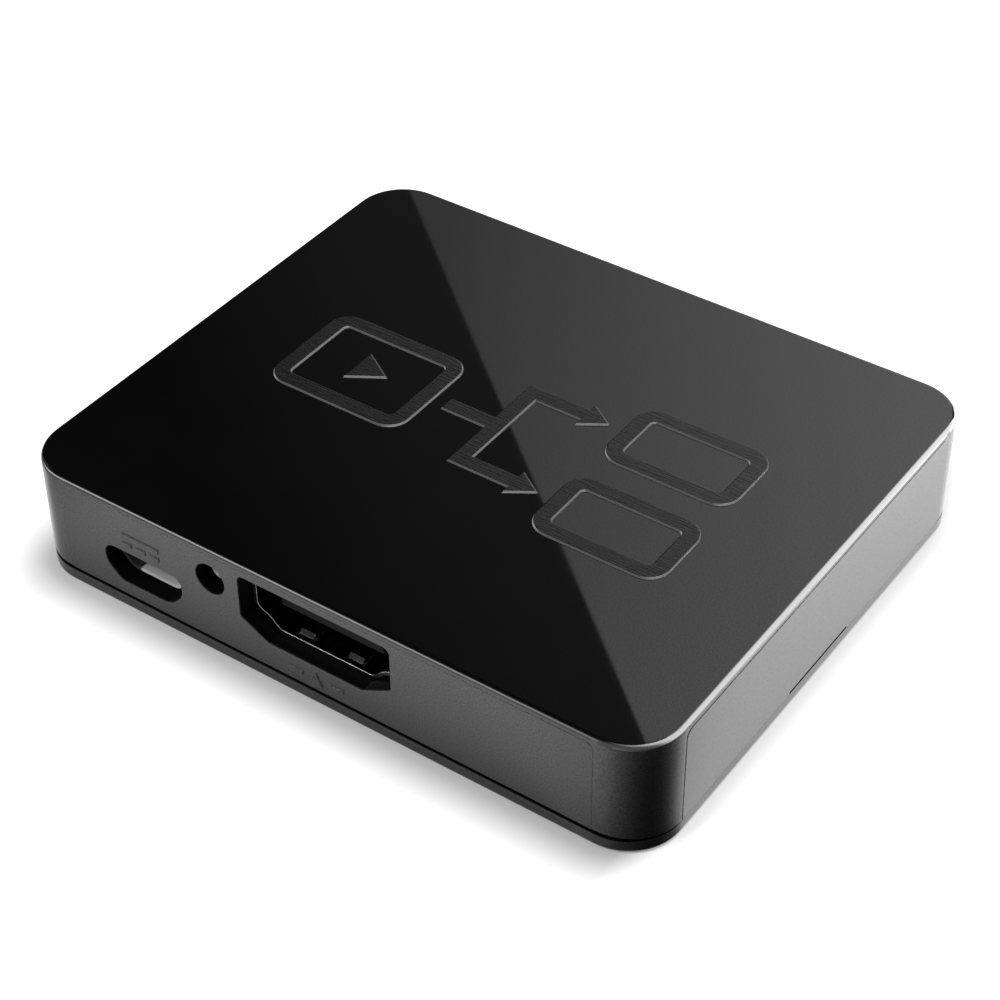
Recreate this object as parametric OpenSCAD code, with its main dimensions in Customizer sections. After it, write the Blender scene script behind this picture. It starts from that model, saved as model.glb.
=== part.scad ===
/* [Case] */
// Width of the case, along the socket faces
case_w = 66; // [64:0.5:80]
// Depth of the case, from the input face to the output face
case_d = 55; // [52:0.5:70]
// Radius of the upright corners
corner_r = 5; // [4:0.1:6]
// Rounding of the edge round the roof
rim_r = 0.45; // [0.2:0.05:0.6]
// Rounding of the edge round the underside
sole_r = 0.3; // [0.1:0.05:0.5]
// Thickness of the side walls
wall = 2; // [1.8:0.1:2.4]
// Thickness of the roof
roof = 1.2; // [1:0.1:2.5]
// Thickness of the bottom plate
base_t = 1.25; // [1:0.05:2]
// Free space between the video sockets and the roof
head_room = 0.95; // [0.9:0.05:4]

/* [Seam] */
// Height of the groove between cover and bottom plate, along the socket faces
seam_gap = 0.5; // [0.3:0.02:0.7]
// Height of the groove along the short sides
seam_side = 0.1; // [0.06:0.02:0.28]
// Depth of the groove
seam_depth = 0.8; // [0.5:0.05:1]
// Width of the pry slot in the middle of each short side
pry_w = 10; // [6:0.5:14]
// Height of the pry slot
pry_h = 0.34; // [0.3:0.02:0.7]
// Depth of the pry slot
pry_depth = 1.2; // [1:0.05:1.4]

/* [Bottom plate] */
// Thickness of the rim that stands inside the cover
rim_t = 1; // [0.8:0.1:1.4]
// Height of that rim above the plate
rim_h = 1.3; // [0.8:0.1:1.8]
// Gap between the rim and the cover's walls
rim_clear = 0.1; // [0.05:0.05:0.2]
// Width of a snap tab
snap_w = 8; // [5:0.5:12]
// Height of a snap tab above the plate
snap_h = 4.4; // [3.6:0.1:6]
// How far the tab's barb reaches into the wall
snap_bite = 0.45; // [0.3:0.05:0.7]
// Height of the barb
snap_barb_h = 1; // [0.8:0.1:1.4]
// Play round the barb in its pocket
snap_clear = 0.15; // [0.1:0.05:0.3]
// Diameter of the posts under the board
post_d = 3; // [2:0.1:4]
// Distance of the posts from the middle of the board, along the width
post_x = 20; // [16:0.5:23]
// Distance of the posts from the middle of the board, along the depth
post_y = 6.5; // [4:0.5:8]
// Size of the shallow label bed in the underside
label_size = [36, 22]; // [16:1:44]
// Depth of the label bed
label_depth = 0.2; // [0.1:0.05:0.4]
// Corner radius of the label bed
label_r = 1.5; // [1:0.1:3]

/* [Side faces] */
// Height of the flat panel on each side face
panel_rise = 0.04; // [0.02:0.01:0.2]
// Distance of a panel's ends from the start of the corner
panel_end = 0.3; // [0.1:0.1:1]
// Distance of a panel's upper edge from the roof
panel_top = 0.7; // [0.7:0.1:2]
// Radius of a panel's upper corners
panel_r = 0.8; // [0.4:0.1:1.5]
// Height of the signs beside the sockets above their panel
sign_rise = 0.1; // [0.05:0.01:0.2]
// Stroke of the signs
sign_line = 0.42; // [0.3:0.02:0.5]
// Length of the signs upwards
sign_h = 1.4; // [1:0.1:1.6]
// Width of the power sign
power_sign_w = 4.2; // [3:0.1:5]
// Width of the video signs
video_sign_w = 5.8; // [4:0.1:7]
// Gap between a sign and the cut-out beside it
sign_gap = 0.75; // [0.5:0.05:1]

/* [Roof mark] */
// Height of the mark above the roof
mark_rise = 0.18; // [0.1:0.02:0.3]
// Width of the slope along the mark's edges
mark_slope = 0.1; // [0.04:0.01:0.14]
// Stroke of the mark's lines
mark_line = 1.7; // [1.2:0.1:2]
// Width and depth of the source frame on the left
mark_source = [15, 12]; // [10:0.5:18]
// Width and depth of each screen frame on the right
mark_screen = [13.5, 8.6]; // [7:0.1:16]
// Overall width of the mark
mark_w = 45; // [42:0.5:50]
// Distance between the two screen frames
mark_split = 2.8; // [2:0.1:4]
// Inner corner radius of the frames
mark_r = 0.5; // [0.3:0.1:0.9]
// Gap between the frames and the branching line
mark_gap = 1.3; // [0.8:0.1:2]
// Length of the arrowheads
mark_arrow = 2.6; // [2:0.1:3]

/* [Circuit board] */
// Thickness of the board
board_t = 1.2; // [0.8:0.1:1.6]
// Gap between the board's edge and the bottom plate's rim
board_clear = 0.3; // [0.2:0.05:0.6]
// Corner radius of the board
board_r = 1; // [0.5:0.1:2]
// Play round every wire and leg in the board's holes
hole_clear = 0.15; // [0.1:0.05:0.25]
// Length of the wires and legs below the board
leg_tail = 0.6; // [0.4:0.05:0.8]

/* [Board screws] */
// Diameter of the screws' shank
screw_d = 2; // [1.6:0.1:2.5]
// Play of the shank in the board
screw_clear = 0.2; // [0.1:0.05:0.3]
// Play of the shank in the boss
thread_clear = 0.03; // [0.01:0.01:0.05]
// Length of the shank
screw_len = 6; // [5:0.5:7]
// Diameter of the screw heads
screw_head_d = 3.8; // [3.4:0.1:4.2]
// Height of the screw heads
screw_head_h = 0.9; // [0.7:0.05:1.2]
// Width of the slots of the cross in the heads
screw_cross = 0.5; // [0.3:0.05:0.6]
// Length of those slots
screw_cross_len = 2.3; // [1.8:0.1:2.8]
// Space between the screw heads and the bottom plate
head_gap = 0.3; // [0.2:0.05:1]
// Diameter of the cover's bosses
boss_d = 4.6; // [4:0.1:5]
// Distance of the bosses from the board's edges
boss_inset = 1.1; // [0.8:0.1:2]
// Depth of the boss hole past the screw's tip
boss_spare = 0.5; // [0.2:0.1:0.7]

/* [Video sockets] */
// Outer width of a video socket's shell
video_w = 15.3; // [14.5:0.1:16]
// Outer height of the shell
video_h = 5.3; // [5:0.1:6]
// Outer width of the shell's narrow floor
video_floor = 10.1; // [9.8:0.1:11]
// Height of the drawn-in lower corners
video_slant = 1.75; // [1.4:0.05:2]
// Place of the bend in a lower corner, outwards and upwards from the floor's end
video_bend = [1.15, 1.1]; // [0.9:0.05:1.3]
// Radius of the upper corners
video_r = 0.7; // [0.5:0.05:1]
// Radius of the bends in the lower corners
video_fold_r = 1.2; // [0.8:0.1:1.5]
// Length of the shell
video_len = 11.5; // [11:0.1:13]
// Thickness of the shell's sheet
video_sheet = 0.35; // [0.3:0.01:0.4]
// Gap between the shell and its cut-out on the left and right
video_clear = 0.35; // [0.2:0.05:0.5]
// Gap below the shell in its cut-out
video_under = 0.1; // [0.05:0.01:0.3]
// Gap above the shell in its cut-out
video_above = 0.88; // [0.3:0.02:0.9]
// Height of the slanted lower corners of the cut-out
cutout_slant = 1.6; // [1.2:0.05:1.8]
// Radius of the lower corners of the cut-out
cutout_r = 0.35; // [0.2:0.05:0.6]
// Height of the shell's floor above the board
video_lift = 0.9; // [0.6:0.05:1.5]
// Distance of the shell's mouth behind the case's face
video_recess = 1.5; // [0.5:0.1:1.7]
// Gap between an output socket and the boss beside it
out_gap = 1.25; // [0.8:0.05:3]
// Length of the plastic block at the socket's rear
video_block = 2.7; // [2:0.1:3]
// Distance from the block's rear to the shell's rear end
video_block_back = 0.9; // [0.6:0.05:1.2]
// Gap between the plastic block and the shell
video_fit = 0.05; // [0.02:0.01:0.1]
// Width of the foot below the block
video_foot = 9.5; // [9.3:0.1:9.7]
// Width of the tongue that carries the contacts
tongue_w = 10.8; // [10.2:0.1:11.4]
// Thickness of the tongue
tongue_t = 1.4; // [1:0.1:1.8]
// Height of the tongue above the middle of the shell
tongue_up = 0.35; // [0:0.05:0.5]
// Distance of the tongue's front behind the shell's mouth
tongue_back = 1; // [0.8:0.1:1.5]
// Distance from one contact to the next in a row
contact_pitch = 1; // [0.9:0.02:1]
// Width of a contact strip
contact_w = 0.35; // [0.25:0.05:0.4]
// Thickness of a contact strip
contact_t = 0.12; // [0.1:0.01:0.2]
// Length of a contact's solder foot
contact_foot = 1; // [0.6:0.1:1.5]

/* [Socket springs] */
// Width of a spring tongue cut from the shell
spring_w = 1.5; // [1.2:0.1:1.8]
// Distance of each spring tongue from the socket's middle
spring_x = 2.62; // [2:0.02:3.2]
// Distance of the springs' free ends behind the mouth
spring_tip = 0.6; // [0.5:0.05:0.8]
// Length of the springs
spring_len = 4.6; // [3.5:0.1:5]
// How far a spring's crest stands into the socket
spring_rise = 0.3; // [0.2:0.02:0.34]
// Length of the ramp from the free end up to the crest
spring_ramp = 0.4; // [0.35:0.05:0.8]
// Length of the flat crest
spring_crest = 1.3; // [0.8:0.1:1.8]
// Slit left round each spring
spring_slit = 0.25; // [0.15:0.05:0.35]
// Width of the shell's board legs
leg_w = 1.2; // [0.8:0.1:1.6]
// Distance of the front legs behind the mouth
leg_front = 3.6; // [3.4:0.1:4.5]
// Distance of the rear legs behind the mouth
leg_rear = 9; // [8:0.1:10]

/* [Power socket] */
// Outer width of the power socket's shell
power_w = 7.7; // [7:0.1:8]
// Outer height of the shell
power_h = 2.6; // [2.4:0.05:3]
// Outer width of the shell's narrow floor
power_floor = 5.2; // [4.8:0.1:6]
// Height of the slanted lower corners
power_slant = 1.2; // [0.9:0.05:1.3]
// Radius of the upper corners
power_r = 0.6; // [0.4:0.05:0.8]
// Radius of the bends in the lower corners
power_fold_r = 1.2; // [0.8:0.1:1.4]
// Length of the shell
power_len = 5.2; // [4.8:0.1:6]
// Thickness of the shell's sheet
power_sheet = 0.3; // [0.2:0.01:0.35]
// Gap between the shell and its cut-out
power_clear = 0.55; // [0.3:0.05:0.6]
// Height of the shell's floor above the board
power_lift = 0.05; // [0.02:0.01:0.3]
// Distance of the shell's mouth behind the case's face
power_recess = 1.4; // [0.5:0.1:1.6]
// Gap between the power socket and the boss beside it
power_gap = 1.05; // [0.8:0.05:1.6]
// Length of the plastic block at the socket's rear
power_block = 1.4; // [1:0.1:1.8]
// Width of the tongue
power_tongue_w = 3.7; // [3.4:0.1:4]
// Thickness of the tongue
power_tongue_t = 0.6; // [0.4:0.05:0.7]
// Height of the tongue's middle above the middle of the shell
power_tongue_up = 0.4; // [0.3:0.05:0.5]
// Distance of the tongue's front behind the mouth
power_tongue_back = 0.9; // [0.6:0.1:1.2]
// Distance from one power contact to the next
power_pitch = 0.65; // [0.6:0.01:0.7]
// Distance of the shell's legs behind the mouth
power_leg = 3.2; // [3:0.1:4]

/* [Indicator] */
// Diameter of the indicator's lens
led_d = 3; // [2:0.1:3.2]
// Length of the indicator
led_len = 4.6; // [4:0.1:5.4]
// Diameter of its flange
led_flange_d = 3.8; // [3.6:0.1:4]
// Thickness of its flange
led_flange_t = 1; // [0.6:0.1:1.2]
// Gap between the lens and the hole in the wall
led_clear = 0.1; // [0.05:0.05:0.2]
// Distance that the lens reaches into the wall
led_reach = 1; // [0.4:0.1:1.6]
// Gap between the flange and the roof
led_roof_gap = 0.25; // [0.1:0.05:0.4]
// Gap between the flange and the input socket
led_side_gap = 1.55; // [1:0.05:1.7]
// Thickness of the square wires
lead_t = 0.5; // [0.4:0.05:0.6]
// Distance between the two wires
lead_pitch = 2.54; // [2:0.02:2.6]
// Straight length of the wires before they bend down
lead_out = 1.2; // [0.8:0.1:1.6]

/* [Board parts] */
// Side of the splitter chip's body
chip_side = 10; // [8:0.5:10]
// Height of the splitter chip's body
chip_h = 1.4; // [1:0.1:1.8]
// Leads on each side of the splitter chip
chip_leads = 16; // [10:1:16]
// Distance between its leads
chip_pitch = 0.5; // [0.4:0.02:0.5]
// Length and width of the memory chip's body
memory_size = [4.9, 3.9]; // [3:0.1:5.5]
// Height of the memory and regulator bodies
small_chip_h = 1.5; // [1.2:0.1:1.8]
// Distance between the memory chip's leads
memory_pitch = 1.27; // [1:0.01:1.3]
// Length and width of the regulator's body
regulator_size = [6.5, 3.5]; // [3:0.1:7]
// Distance between the regulator's leads
regulator_pitch = 2.3; // [1.8:0.05:2.4]
// Width of the regulator's heat tab
regulator_tab = 3; // [2.5:0.1:3.2]
// Length and width of the converter chip's body
converter_size = [2.9, 1.6]; // [1.5:0.1:3.2]
// Height of the converter chip's body
converter_h = 1.1; // [0.8:0.1:1.3]
// Distance between the converter chip's leads
converter_pitch = 0.95; // [0.8:0.01:0.95]
// Gap between a chip's body and the board
chip_stand = 0.1; // [0.05:0.01:0.2]
// Thickness of the chips' leads
pin_t = 0.15; // [0.1:0.01:0.2]
// Reach of the chips' leads past the body
pin_reach = 1; // [0.8:0.05:1.2]
// Side of the power inductor
inductor_side = 5; // [4:0.1:5.5]
// Height of the power inductor
inductor_h = 2.8; // [2:0.1:3.5]
// Length, width and height of the crystal's can
crystal_size = [10.4, 3.8, 3]; // [2.5:0.1:11]
// Margin of the crystal's base round its can
crystal_lip = 0.4; // [0.3:0.05:0.5]
// Thickness of the crystal's base
crystal_base_t = 0.6; // [0.4:0.05:0.8]
// Diameter of the bulk capacitors' cans
bulk_d = 5; // [4:0.1:5.5]
// Height of the bulk capacitors' cans
bulk_h = 4.4; // [4:0.1:5]
// Margin of the bulk capacitors' bases round the cans
bulk_lip = 0.2; // [0.1:0.05:0.3]
// Thickness of those bases
bulk_base_t = 0.8; // [0.5:0.05:1]
// Length, width and height of the small two-ended parts
small_size = [1.6, 0.8, 0.7]; // [0.5:0.05:1.8]
// Length of each solder end of the small parts
small_end = 0.3; // [0.2:0.02:0.4]
// Length, width and height of the surge arrays
surge_size = [2.5, 1, 0.6]; // [0.5:0.05:2.8]
// Gap between neighbouring parts on the board
part_gap = 1.2; // [1:0.05:1.4]

/* [Hidden] */
$fn = 64;
// Amount by which a cut reaches past the face that it opens
over = 1;
// Segments in the small roundings of the case's edges
edge_steps = 6;
// Contacts in the upper and lower row of a video socket, and in the power socket
upper_contacts = 10;
lower_contacts = 9;
power_contacts = 5;
// Leads on each side of the memory chip, and on the two sides of the regulator and the converter
memory_pins = 4;
regulator_pins = 3;
converter_pins = [3, 2];

board_low = base_t + head_gap + screw_head_h;
board_top = board_low + board_t;
video_z = board_top + video_lift + video_h / 2;
power_z = board_top + power_lift + power_h / 2;
roof_low = board_top + video_lift + video_h + head_room;
case_h = roof_low + roof;
led_z = roof_low - led_roof_gap - led_flange_d / 2;

board_inset = wall + rim_clear + rim_t + board_clear;
board_w = case_w - 2 * board_inset;
board_d = case_d - 2 * board_inset;
screw_x = board_w / 2 - boss_inset - boss_d / 2;
screw_y = board_d / 2 - boss_inset - boss_d / 2;
out_x = screw_x - boss_d / 2 - out_gap - video_w / 2;
power_x = -(screw_x - boss_d / 2 - power_gap - power_w / 2);
led_x = -(video_w / 2 + led_side_gap + led_flange_d / 2);

front = -case_d / 2;
back = case_d / 2;
video_mouth = front + video_recess;
power_mouth = front + power_recess;
led_tip = front + wall - led_reach;
lead_y = led_tip + led_len + lead_out - lead_t / 2;
block_rear = video_len - video_block_back;
block_front = block_rear - video_block;
video_end = video_mouth + video_len + contact_foot;
power_end = power_mouth + power_len + contact_foot;
// Height of the contact rows above the middle of their sockets
upper_strip_z = tongue_up + (tongue_t + contact_t) / 2;
lower_strip_z = tongue_up - (tongue_t + contact_t) / 2;
power_strip_z = power_tongue_up - (power_tongue_t + contact_t) / 2;

shaft_depth = screw_len - board_t;
mark_branch_y = (mark_screen[1] + mark_split) / 2;
// Depth to which the mark's slopes run on into the roof
mark_foot = mark_rise / 2;

memory_at = [-(chip_side / 2 + pin_reach + part_gap + memory_size[1] / 2 + pin_reach), 0];
inductor_at = [chip_side / 2 + pin_reach + part_gap + inductor_side / 2, 0];
converter_at = [inductor_at[0] + inductor_side / 2 + part_gap + converter_size[0] / 2, 0];
regulator_at = [power_x, power_end + part_gap + regulator_size[1] / 2 + pin_reach];
crystal_at = [video_w / 2 + part_gap + crystal_size[0] / 2 + crystal_lip,
    video_mouth + video_len - crystal_size[1]];
bulk_at = [for (side = [-1, 1]) [power_x + side * (bulk_d / 2 + bulk_lip + part_gap / 2),
    regulator_at[1] + regulator_size[1] / 2 + pin_reach + part_gap + bulk_d / 2]];

// Places of the small parts, which lie along the depth
small_pitch = small_size[1] + part_gap;
chip_rim = chip_side / 2 + pin_reach + part_gap + small_size[0] / 2;
capacitor_at = [for (side = [-1, 1], i = [-1.5:1:1.5]) [i * small_pitch, side * chip_rim]];
resistor_at = [for (side = [-1, 1], i = [-1.5:1:1.5])
    [side * out_x + i * small_pitch, -video_end - part_gap - small_size[0] / 2]];
surge_pitch = surge_size[0] + part_gap;
surge_depth = part_gap + small_size[0] + part_gap + surge_size[1] / 2;
surge_at = concat(
    [for (side = [-1, 1], i = [-0.5, 0.5]) [side * out_x + i * surge_pitch, -video_end - surge_depth]],
    [for (i = [-0.5, 0.5]) [i * surge_pitch, video_end + surge_size[1] / 2 + part_gap / 2]]);

// Points along an arc
function arc(centre, r, from, to) =
    [for (i = [0:edge_steps]) let (t = from + (to - from) * i / edge_steps)
        [centre[0] + r * cos(t), centre[1] + r * sin(t)]];

// Unit normal of the edge from a to b, to its left
function edge_normal(a, b) = [a[1] - b[1], b[0] - a[0]] / norm(b - a);

// Points of an outline that runs anticlockwise, after its edges have moved inwards by t
function inset(points, t) =
    let (n = len(points))
    [for (i = [0:n - 1])
        let (before = edge_normal(points[(i + n - 1) % n], points[i]))
        let (after = edge_normal(points[i], points[(i + 1) % n]))
        points[i] + t * (before + after) / (1 + before * after)];

// Arc of radius r in the corner b between a and c, after the outline has moved inwards by t
function corner_arc(a, b, c, r, t) =
    let (before = edge_normal(a, b))
    let (after = edge_normal(b, c))
    let (way = sign(before[0] * after[1] - before[1] * after[0]))
    let (from = atan2(-way * before[1], -way * before[0]))
    arc(b + way * r * (before + after) / (1 + before * after), r - way * t,
        from, from + way * acos(before * after));

// Outline that runs anticlockwise, with rounded corners, after it has moved inwards by t
function soft_outline(points, radii, t) =
    let (n = len(points))
    [for (i = [0:n - 1])
        each corner_arc(points[(i + n - 1) % n], points[i], points[(i + 1) % n], radii[i], t)];

// Rectangle round the origin with rounded corners
module rounded_rect(size, r) {
    square([size[0] - 2 * r, size[1]], center = true);
    square([size[0], size[1] - 2 * r], center = true);
    for (x = [-1, 1], y = [-1, 1])
        translate([x * (size[0] / 2 - r), y * (size[1] / 2 - r)])
            circle(r);
}

// Block with rounded corners, its edge shaped by its children from the corner's axis outwards
module edged_block(w, d, r, low, high) {
    cx = w / 2 - r;
    cy = d / 2 - r;
    translate([-cx, -cy, low])
        cube([2 * cx, 2 * cy, high - low]);
    swept_ring(cx, cy)
        children();
}

// Outline of the children, swept round a rectangle whose corners are the axes that they turn about
module swept_ring(cx, cy) {
    for (turn = [0:3]) {
        along = turn % 2 == 0 ? cx : cy;
        across = turn % 2 == 0 ? cy : cx;
        rotate(90 * turn) {
            translate([along, across, 0])
                rotate_extrude(angle = 90)
                    children();
            translate([along, across, 0])
                rotate([90, 0, 0])
                    linear_extrude(2 * across)
                        children();
        }
    }
}

// Ring with rounded corners, its outer edge r, standing on the plane z = 0
module rounded_ring(w, d, r, t, h) {
    linear_extrude(h)
        difference() {
            rounded_rect([w, d], r);
            rounded_rect([w - 2 * t, d - 2 * t], r - t);
        }
}

// Outline of a socket from the corners of its right half, upwards from its floor, moved inwards by t
module socket_outline(right, radii, t) {
    left = [for (i = [len(right) - 1:-1:0]) [-right[i][0], right[i][1]]];
    left_radii = [for (i = [len(radii) - 1:-1:0]) radii[i]];
    polygon(soft_outline(concat(right, left), concat(radii, left_radii), t));
}

module video_outline(t) {
    floor_end = [video_floor, -video_h] / 2;
    socket_outline([floor_end, floor_end + video_bend, [video_w / 2, video_slant - video_h / 2],
        [video_w, video_h] / 2], [video_fold_r, video_fold_r, video_fold_r, video_r], t);
}

module power_outline(t) {
    socket_outline([[power_floor, -power_h] / 2, [power_w / 2, power_slant - power_h / 2],
        [power_w, power_h] / 2], [power_fold_r, power_fold_r, power_r], t);
}

// Cut-out round a video socket, with straight slants at its lower corners
module video_cutout() {
    low = -video_h / 2 - video_under;
    half_w = video_w / 2 + video_clear;
    socket_outline([[video_floor / 2, low], [half_w, low + cutout_slant], [half_w, video_h / 2 + video_above]],
        [cutout_r, cutout_r, video_r], 0);
}

// Extrusion of an outline in X and Z along the depth, from y = 0
module along_depth(len) {
    translate([0, len, 0])
        rotate([90, 0, 0])
            linear_extrude(len)
                children();
}

// Extrusion of an outline in Y and Z along the width, centred on x = 0
module along_width(len) {
    rotate([90, 0, 90])
        linear_extrude(len, center = true)
            children();
}

// Places for the sockets: the children's y = 0 is the mouth
module at_video_in() {
    translate([0, video_mouth, video_z])
        children();
}

module at_video_out(side) {
    translate([side * out_x, -video_mouth, video_z])
        rotate(180)
            children();
}

module at_power() {
    translate([power_x, power_mouth, power_z])
        children();
}

module at_screws() {
    for (x = [-1, 1], y = [-1, 1])
        translate([x * screw_x, y * screw_y, 0])
            children();
}

// Raised sign beside a video socket: a bar at each side of a triangle that points up or down
module video_sign(up) {
    tip = up ? sign_h / 2 : -sign_h / 2;
    polygon([[-sign_h / 2, -tip], [sign_h / 2, -tip], [0, tip]]);
    for (side = [-1, 1])
        translate([side * (video_sign_w / 2 + sign_h) / 2, 0])
            square([video_sign_w / 2 - sign_h, sign_line], center = true);
}

// Raised sign beside the power socket: a bar over three dashes
module power_sign() {
    dash = power_sign_w / 4;
    translate([0, sign_h / 2 - sign_line / 2])
        square([power_sign_w, sign_line], center = true);
    for (i = [-1:1])
        translate([i * (power_sign_w - dash) / 2, sign_line / 2 - sign_h / 2])
            square([dash, sign_line], center = true);
}

// Relief of the given height on the face at y = -d / 2, rooted in the wall
module on_face(d, rise) {
    translate([0, -d / 2 - rise, 0])
        along_depth(rise + wall / 2)
            children();
}

// Flat panel on a side face of the given width
module side_panel(w, d) {
    panel_w = w - 2 * (corner_r + panel_end);
    panel_h = case_h - panel_top - base_t;
    on_face(d, panel_rise)
        translate([0, base_t + panel_h / 2]) {
            rounded_rect([panel_w, panel_h], panel_r);
            translate([0, -panel_h / 4])
                square([panel_w, panel_h / 2], center = true);
        }
}

module side_panels() {
    for (turn = [0, 180])
        rotate(turn)
            side_panel(case_w, case_d);
    for (turn = [90, 270])
        rotate(turn)
            side_panel(case_d, case_w);
    on_face(case_d, panel_rise + sign_rise)
        front_signs();
    rotate(180)
        on_face(case_d, panel_rise + sign_rise)
            back_signs();
}

module front_signs() {
    translate([0, video_z - video_h / 2 - video_under - sign_gap - sign_h / 2])
        video_sign(true);
    translate([power_x, power_z + power_h / 2 + power_clear + sign_gap + sign_h / 2])
        power_sign();
}

module back_signs() {
    for (side = [-1, 1])
        translate([side * out_x, video_z - video_h / 2 - video_under - sign_gap - sign_h / 2])
            video_sign(false);
}

// Raised frame of the given outer size, with a slope along both edges of its line
module raised_frame(size) {
    inner = [for (length = size) length / 2 - mark_line - mark_r];
    spread = mark_slope * mark_foot / mark_rise;
    swept_ring(inner[0], inner[1])
        translate([mark_r, 0])
            polygon([[-spread, -mark_foot], [mark_line + spread, -mark_foot],
                [mark_line - mark_slope, mark_rise], [mark_slope, mark_rise]]);
}

// Raised patch with sloping edges, on a convex outline that runs anticlockwise
module raised_patch(points) {
    lean = atan2(mark_slope, mark_rise);
    difference() {
        translate([0, 0, -mark_foot])
            linear_extrude(mark_foot + mark_rise)
                polygon(inset(points, -mark_slope));
        for (i = [0:len(points) - 1]) {
            edge = points[(i + 1) % len(points)] - points[i];
            translate(points[i])
                rotate(atan2(edge[1], edge[0]))
                    rotate([-lean, 0, 0])
                        translate([-over, -over, -over])
                            cube([norm(edge) + 2 * over, over, 2 * over]);
        }
    }
}

// Raised bar between two corners
module raised_bar(low, high) {
    raised_patch([low, [high[0], low[1]], high, [low[0], high[1]]]);
}

// Raised triangle that points along X, with the middle of its base at the origin
module raised_arrow(reach, half_w) {
    raised_patch([[0, -half_w], [reach, 0], [0, half_w]]);
}

// Mark on the roof: one source frame whose line branches to two screen frames
module roof_mark() {
    half = mark_line / 2;
    source_x = (mark_source[0] - mark_w) / 2;
    screen_x = (mark_w - mark_screen[0]) / 2;
    line_x = source_x + mark_source[0] / 2 + mark_gap;
    arrow_x = screen_x - mark_screen[0] / 2 - mark_gap - mark_arrow;
    stem_x = (line_x + arrow_x) / 2;
    translate([source_x, 0, 0]) {
        raised_frame(mark_source);
        translate([-mark_arrow / 2, 0, 0])
            raised_arrow(mark_arrow + half, mark_arrow / 2 + half);
    }
    raised_bar([line_x, -half], [stem_x + half, half]);
    raised_bar([stem_x - half, -mark_branch_y - half], [stem_x + half, mark_branch_y + half]);
    for (side = [-1, 1])
        translate([0, side * mark_branch_y, 0]) {
            translate([screen_x, 0, 0])
                raised_frame(mark_screen);
            raised_bar([stem_x - half, -half], [arrow_x + half, half]);
            translate([arrow_x, 0, 0])
                raised_arrow(mark_arrow, mark_line);
        }
}

module top_cover() {
    inner_w = case_w - 2 * wall;
    inner_d = case_d - 2 * wall;
    color("#17181a") {
        difference() {
            union() {
                edged_block(case_w, case_d, corner_r, base_t, case_h)
                    polygon(concat([[0, base_t], [corner_r, base_t]],
                        arc([corner_r - rim_r, case_h - rim_r], rim_r, 0, 90), [[0, case_h]]));
                side_panels();
            }
            translate([0, 0, base_t - over])
                linear_extrude(roof_low - base_t + over)
                    rounded_rect([inner_w, inner_d], corner_r - wall);
            seam_groove();
            pry_slots();
            snap_pockets();
            wall_openings();
        }
        translate([0, 0, case_h])
            roof_mark();
        at_screws()
            boss();
    }
}

// Groove above the bottom plate, which widens round the corners towards the socket faces
module seam_groove() {
    narrow = back - corner_r;
    growth = (seam_gap - seam_side) / corner_r;
    reach = back + 2 * over;
    rear = [[reach, -over], [reach, seam_gap + 2 * over * growth], [narrow, seam_side]];
    fore = [for (i = [2:-1:0]) [-rear[i][0], rear[i][1]]];
    intersection() {
        translate([0, 0, base_t - over])
            rounded_ring(case_w + 2 * over, case_d + 2 * over, corner_r + over,
                seam_depth + over, seam_gap + 2 * over);
        translate([0, 0, base_t])
            along_width(case_w + 4 * over)
                polygon(concat(rear, fore));
    }
}

module pry_slots() {
    for (side = [-1, 1])
        translate([side * (case_w / 2 + over / 2 - pry_depth / 2), 0, base_t + (pry_h - over) / 2])
            cube([pry_depth + over, pry_w, pry_h + over], center = true);
}

module snap_pockets() {
    low = base_t + snap_h - snap_barb_h - snap_clear;
    depth = snap_bite + snap_clear;
    for (side = [-1, 1])
        translate([side * (case_w / 2 - wall + depth / 2 - over / 2), 0, low + snap_barb_h / 2 + snap_clear])
            cube([depth + over, snap_w + 2 * snap_clear, snap_barb_h + 2 * snap_clear], center = true);
}

// Cut-outs for the sockets and the indicator, through the front and back walls
module wall_openings() {
    translate([0, front - over, video_z])
        along_depth(wall + 2 * over)
            video_cutout();
    for (side = [-1, 1])
        translate([side * out_x, back - wall - over, video_z])
            along_depth(wall + 2 * over)
                video_cutout();
    translate([power_x, front - over, power_z])
        along_depth(wall + 2 * over)
            power_outline(-power_clear);
    translate([led_x, front - over, led_z])
        rotate([-90, 0, 0])
            cylinder(d = led_d + 2 * led_clear, h = wall + 2 * over);
}

module boss() {
    hole_h = shaft_depth + boss_spare;
    difference() {
        translate([0, 0, board_top])
            cylinder(d = boss_d, h = roof_low - board_top + roof / 2);
        translate([0, 0, board_top - over])
            cylinder(d = screw_d + 2 * thread_clear, h = hole_h + over);
    }
}

module bottom_cover() {
    rim_w = case_w - 2 * (wall + rim_clear);
    rim_d = case_d - 2 * (wall + rim_clear);
    color("#17181a") {
        difference() {
            edged_block(case_w, case_d, corner_r, 0, base_t)
                polygon(concat([[0, 0]], arc([corner_r - sole_r, sole_r], sole_r, -90, 0),
                    [[corner_r, base_t], [0, base_t]]));
            translate([0, 0, -over])
                linear_extrude(label_depth + over)
                    rounded_rect(label_size, label_r);
        }
        translate([0, 0, base_t])
            rounded_ring(rim_w, rim_d, corner_r - wall - rim_clear, rim_t, rim_h);
        for (side = [-1, 1])
            rotate(side > 0 ? 0 : 180)
                translate([rim_w / 2, 0, base_t])
                    snap_tab();
        for (x = [-1, 1], y = [-1, 1])
            translate([x * post_x, y * post_y, base_t])
                cylinder(d = post_d, h = board_low - base_t);
    }
}

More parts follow.
